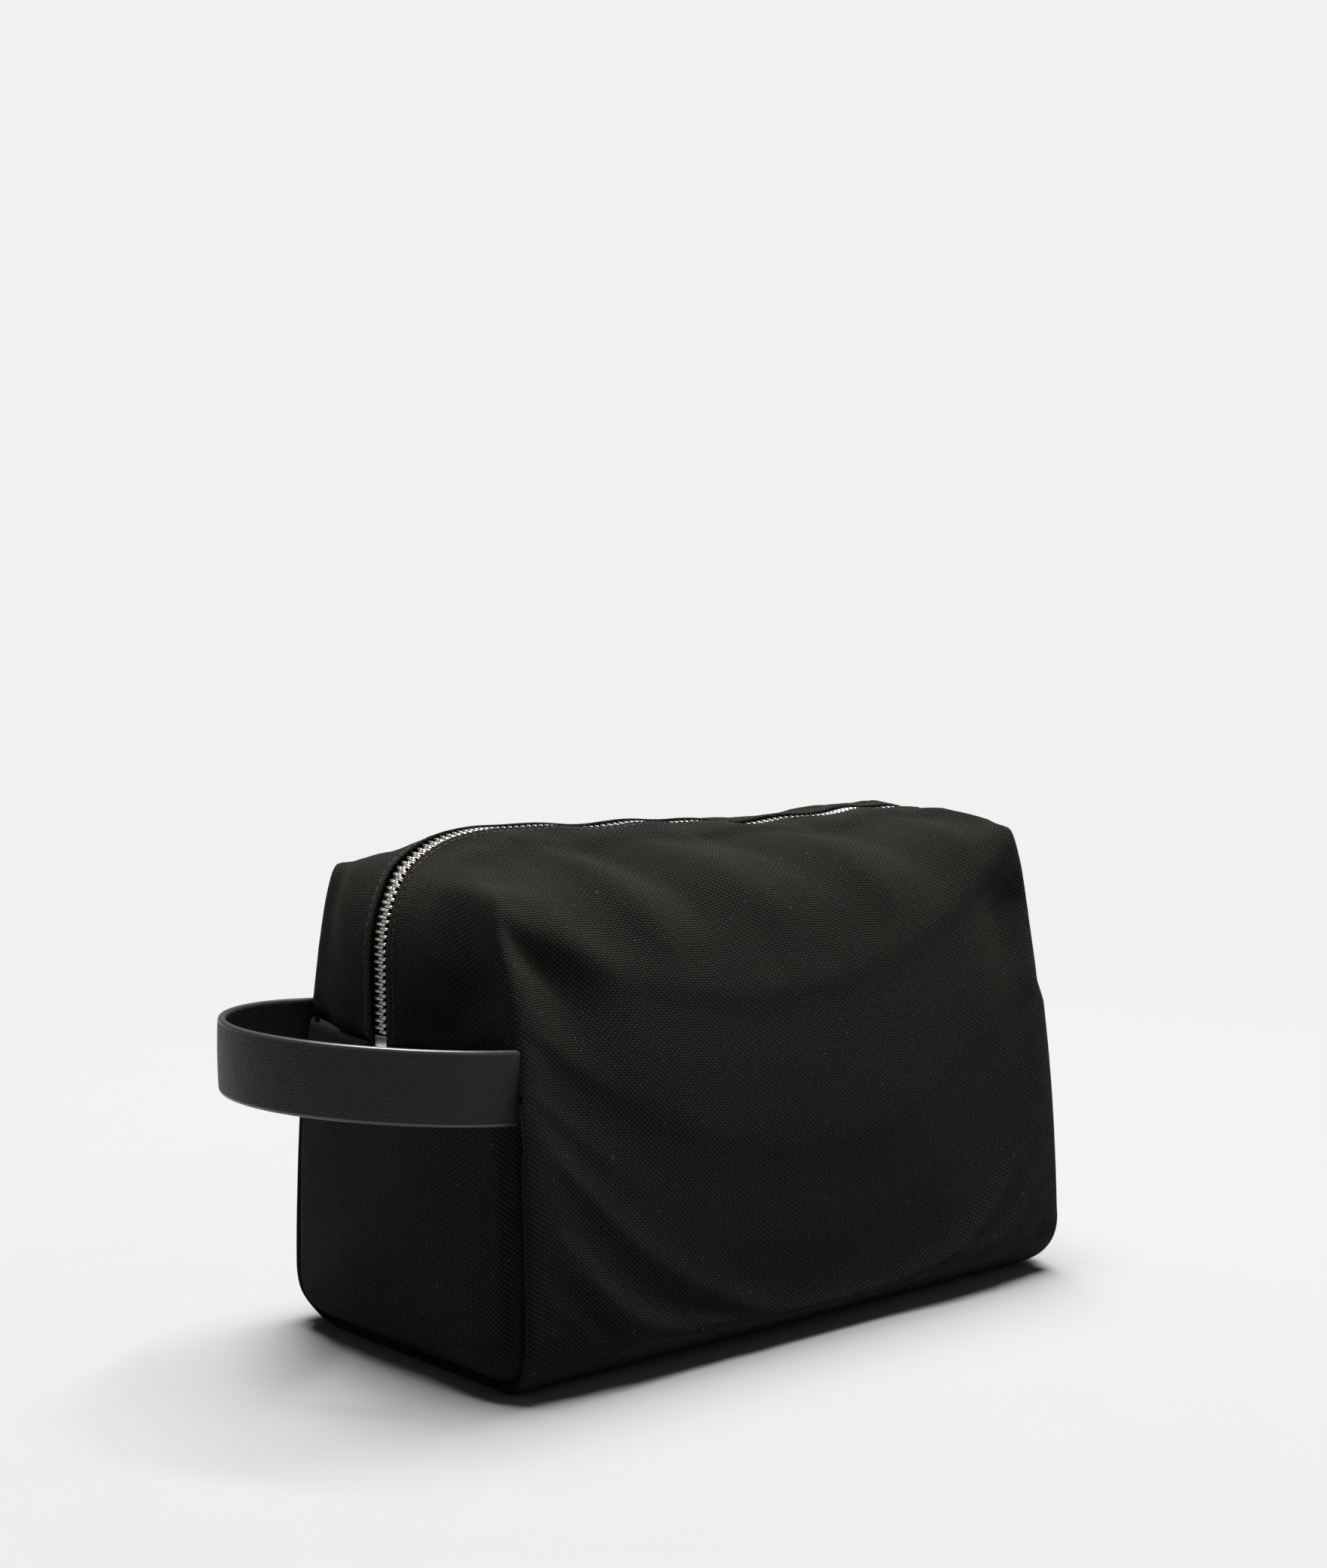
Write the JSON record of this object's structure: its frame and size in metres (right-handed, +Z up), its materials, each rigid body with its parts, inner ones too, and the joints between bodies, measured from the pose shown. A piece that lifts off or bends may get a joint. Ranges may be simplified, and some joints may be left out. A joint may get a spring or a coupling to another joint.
{
  "type": "canvas wash bag",
  "caption": "Boxy black canvas wash bag with a long curved metal zip over the top, opening upper halves and a leather loop handle on one end.",
  "frame": {"origin": "middle of the base, on the surface the bag stands on", "axes": "+X along the bag away from the handle, +Y from the front panel to the back panel, +Z up"},
  "size_m": [0.3318, 0.1318, 0.1742],
  "materials": {
    "canvas": "heavy plain-weave cotton canvas, matt",
    "lining": "fine woven lining, slightly smooth",
    "zip_tape": "woven zip tape",
    "zip_metal": "polished nickel",
    "strap_leather": "pebbled leather with painted edges"
  },
  "bodies": {
    "bag": {"body_wrap": "canvas", "end_panel_near": "canvas", "end_panel_far": "canvas", "lining_base": "lining", "zip_end_tape_near": "zip_tape", "zip_end_tape_far": "zip_tape", "zip_bottom_stop": "zip_metal", "zip_top_stops": "zip_metal", "zip_end_teeth": "zip_metal", "handle_tab_front": "strap_leather", "handle_tab_back": "strap_leather"},
    "front_side": {"front_upper_panel": "canvas", "lining_front": "lining", "zip_tape_front": "zip_tape", "zip_teeth_front": "zip_metal"},
    "back_side": {"back_upper_panel": "canvas", "lining_back": "lining", "zip_tape_back": "zip_tape", "zip_teeth_back": "zip_metal"},
    "slider": {"slider_body": "zip_metal", "slider_bridge": "zip_metal"},
    "pull": {"pull_tab": "zip_metal"},
    "handle": {"handle_strap_outer": "strap_leather", "handle_strap_inner": "strap_leather"}
  },
  "joints": [
    {"name": "front_opens", "type": "hinge", "parent": "bag", "child": "front_side", "pos_m": [0, 0, 0.11], "axis": [1, 0, 0], "range_deg": [0, 24]},
    {"name": "back_opens", "type": "hinge", "parent": "bag", "child": "back_side", "pos_m": [0, 0, 0.11], "axis": [-1, 0, 0], "range_deg": [0, 24]},
    {"name": "slider_slides", "type": "slide", "parent": "bag", "child": "slider", "axis": [0, 0, -1], "range_m": [-0.03, 0]},
    {"name": "pull_swings", "type": "hinge", "parent": "slider", "child": "pull", "pos_m": [0.1382, 0, 0.1006], "axis": [0, -1, 0], "range_deg": [0, 170]},
    {"name": "handle_bends", "type": "hinge", "parent": "bag", "child": "handle", "pos_m": [-0.13476, 0, 0.105], "axis": [0, 1, 0], "range_deg": [-25, 25]}
  ]
}
